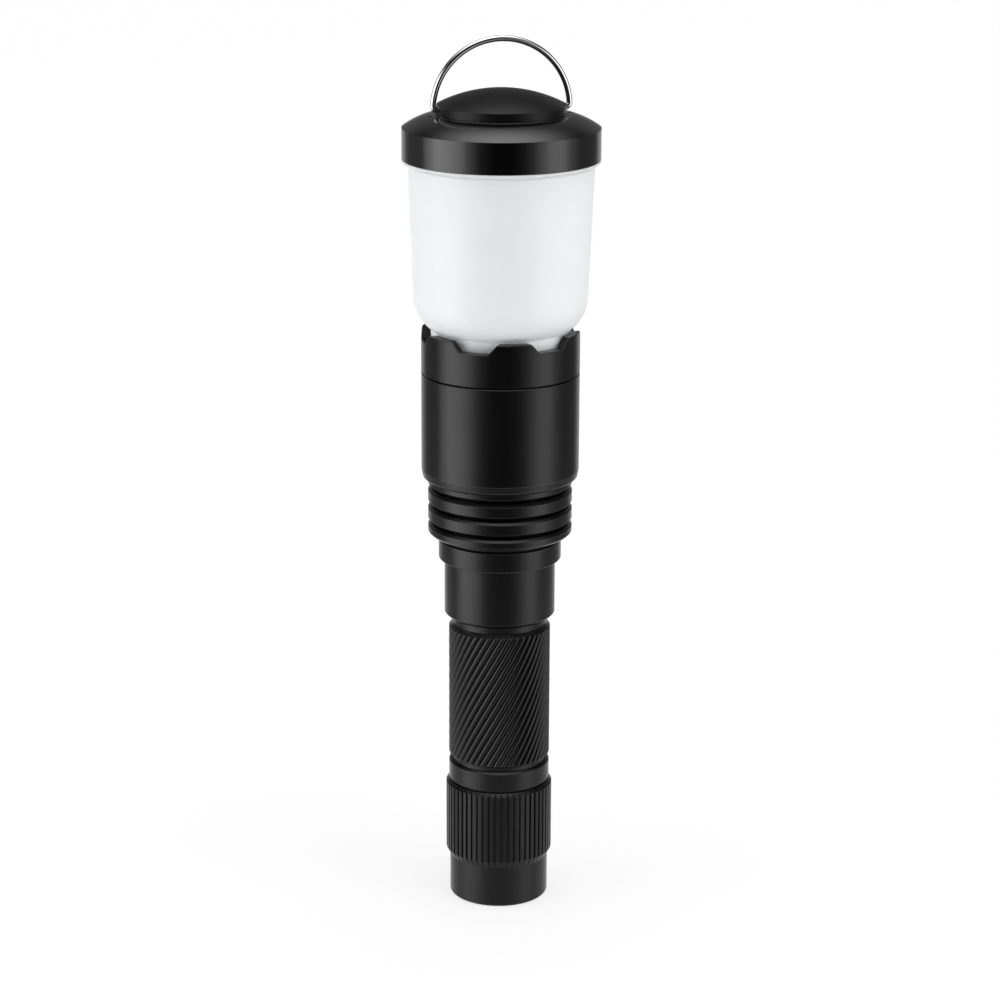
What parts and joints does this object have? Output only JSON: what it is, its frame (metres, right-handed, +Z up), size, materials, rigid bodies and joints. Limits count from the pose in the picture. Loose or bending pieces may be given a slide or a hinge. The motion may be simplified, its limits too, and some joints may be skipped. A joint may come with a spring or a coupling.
{
  "type": "tactical flashlight",
  "caption": "Zoomable aluminium flashlight with a crenellated bezel, tail switch, push-in frosted lantern diffuser and folding wire bail.",
  "frame": {"origin": "centre of the tail cap's foot, which is the centre of the bounding box's bottom face", "axes": "+Z up the flashlight's long axis from the tail switch to the lantern; the bail's pivots lie along X"},
  "size_m": [0.0494, 0.0494, 0.2257],
  "materials": {
    "anodised_black": "satin hard-anodised black",
    "gloss_black": "gloss black",
    "satin_black": "satin black",
    "frosted_white": "frosted translucent white",
    "white_plastic": "moulded white",
    "red_plastic": "moulded red",
    "black_rubber": "matte rubber",
    "spring_steel": "bright wire",
    "stainless_wire": "polished stainless wire",
    "brass": "turned brass",
    "circuit_board": "green solder mask",
    "battery_wrap": "shrink wrap",
    "led_phosphor": "silicone over phosphor",
    "lens_glass": "clear polished glass"
  },
  "bodies": {
    "tail": {"tail_cap": "anodised_black", "switch_boot": "black_rubber", "switch_spring": "spring_steel", "switch_body": "red_plastic", "switch_holder": "white_plastic", "tail_board": "circuit_board", "tail_ring": "brass", "tail_spring": "spring_steel"},
    "button": {"switch_plunger": "white_plastic"},
    "cell": {"battery": "battery_wrap"},
    "barrel": {"battery_tube": "anodised_black", "tube_seals": "black_rubber", "heat_sink": "anodised_black", "zoom_seals": "black_rubber", "pill": "brass", "driver_board": "circuit_board", "driver_spring": "spring_steel", "led_leads": "red_plastic", "led_board": "white_plastic", "led_emitter": "led_phosphor"},
    "head": {"head_shell": "anodised_black", "strike_bezel": "anodised_black", "lens": "lens_glass", "lens_seal": "black_rubber", "lens_ring": "anodised_black"},
    "lantern": {"diffuser": "frosted_white", "reflector_cone": "white_plastic", "top_cap": "gloss_black", "cap_dome": "satin_black", "cap_screw": "spring_steel"},
    "bail": {"bail": "stainless_wire"}
  },
  "joints": [
    {"name": "switch_press", "type": "slide", "parent": "tail", "child": "button", "axis": [0, 0, 1], "range_m": [0, 0.0016], "stiffness_N_per_m": 1200, "springref_m": -0.0004, "deforming": ["switch_boot", "switch_spring"]},
    {"name": "barrel_feed", "type": "slide", "parent": "tail", "child": "cell", "axis": [0, 0, 1], "range_m": [0, 0.0105], "deforming": ["tail_spring"]},
    {"name": "barrel_turn", "type": "hinge", "parent": "cell", "child": "barrel", "pos_m": [0, 0, 0.03], "axis": [0, 0, 1], "range_deg": [0, 2520]},
    {"name": "zoom_slide", "type": "slide", "parent": "barrel", "child": "head", "axis": [0, 0, 1], "range_m": [0, 0.008]},
    {"name": "lantern_lift", "type": "slide", "parent": "head", "child": "lantern", "axis": [0, 0, 1], "range_m": [0, 0.018]},
    {"name": "bail_swing", "type": "hinge", "parent": "lantern", "child": "bail", "pos_m": [0, 0, 0.20767], "axis": [1, 0, 0], "range_deg": [-86, 86]}
  ],
  "couplings": [
    {"joint": "barrel_feed", "follows": "barrel_turn", "m_per_rad": 0.00023873}
  ]
}
